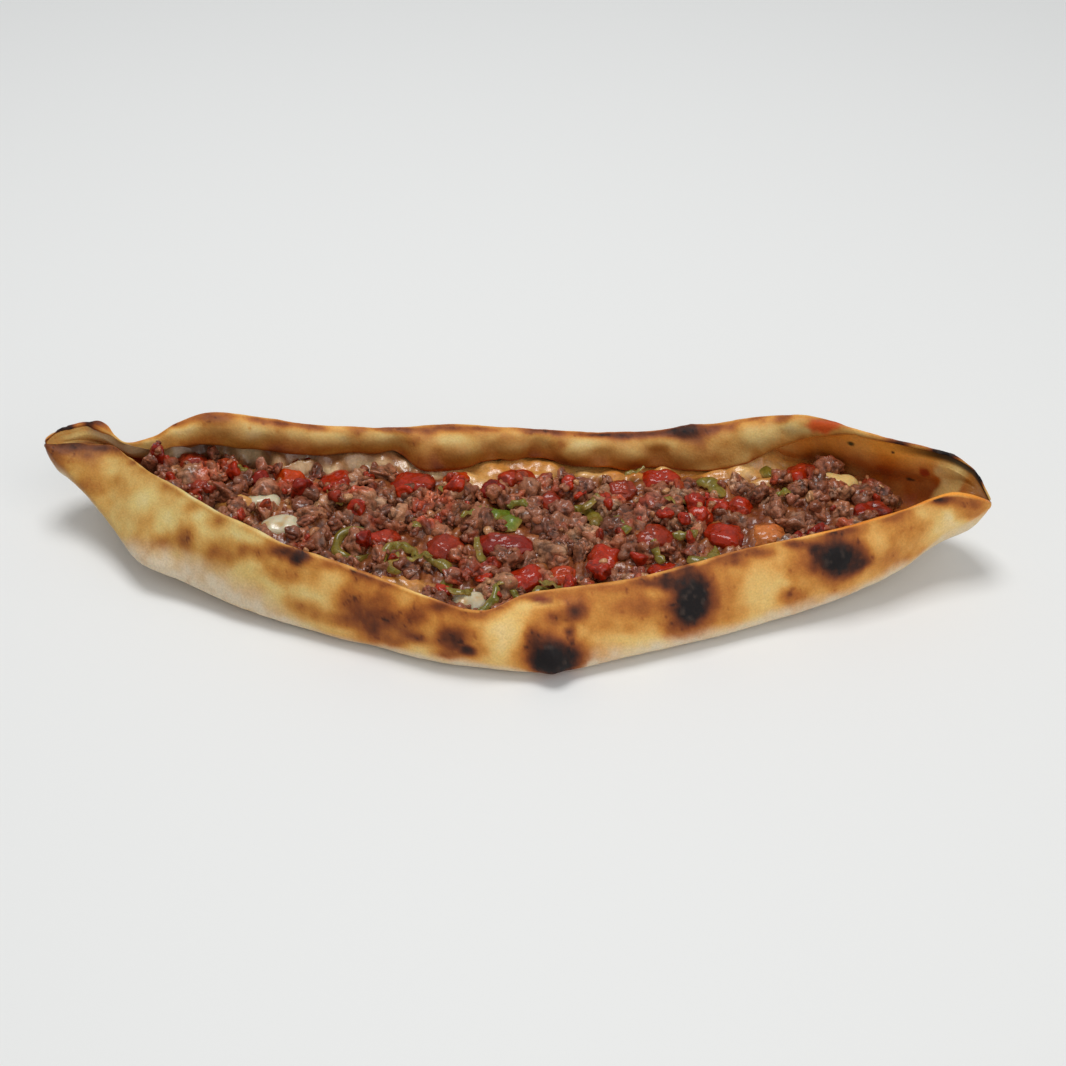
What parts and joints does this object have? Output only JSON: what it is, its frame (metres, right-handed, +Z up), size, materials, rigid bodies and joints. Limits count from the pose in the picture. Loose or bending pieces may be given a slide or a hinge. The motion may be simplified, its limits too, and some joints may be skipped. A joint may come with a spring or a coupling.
{
  "type": "diced meat flatbread",
  "caption": "Long boat-shaped flatbread with raised folded edges and pinched upturned ends, open along the top and filled with diced meat, tomato, green pepper and melted cheese.",
  "frame": {"origin": "middle of the length and of the width, on the surface that the flat underside rests on", "axes": "+X along the bread towards its darker end, +Y towards the high folded back wall, +Z up"},
  "size_m": [0.388, 0.134, 0.0461],
  "materials": {
    "bread": "baked dough, golden with brown and charred blisters, pale floury underside",
    "meat": "cooked diced meat, brown, wet with juice and oil",
    "tomato": "soft cooked tomato pieces, red, wet",
    "pepper": "soft green pepper strips, oily",
    "cheese": "melted white cheese, slightly translucent"
  },
  "bodies": {
    "root": {"bread": "bread", "meat_filling": "meat", "tomato_1": "tomato", "tomato_2": "tomato", "tomato_3": "tomato", "tomato_4": "tomato", "tomato_5": "tomato", "tomato_6": "tomato", "tomato_7": "tomato", "tomato_8": "tomato", "tomato_9": "tomato", "tomato_10": "tomato", "tomato_11": "tomato", "tomato_12": "tomato", "tomato_13": "tomato", "tomato_14": "tomato", "tomato_15": "tomato", "tomato_16": "tomato", "tomato_17": "tomato", "tomato_18": "tomato", "tomato_19": "tomato", "tomato_20": "tomato", "tomato_21": "tomato", "tomato_22": "tomato", "tomato_23": "tomato", "tomato_24": "tomato", "cheese_1": "cheese", "cheese_2": "cheese", "cheese_3": "cheese", "cheese_4": "cheese", "pepper_1": "pepper", "pepper_2": "pepper", "pepper_3": "pepper", "pepper_4": "pepper", "pepper_5": "pepper", "pepper_6": "pepper", "pepper_7": "pepper", "pepper_8": "pepper", "pepper_9": "pepper"}
  },
  "joints": []
}
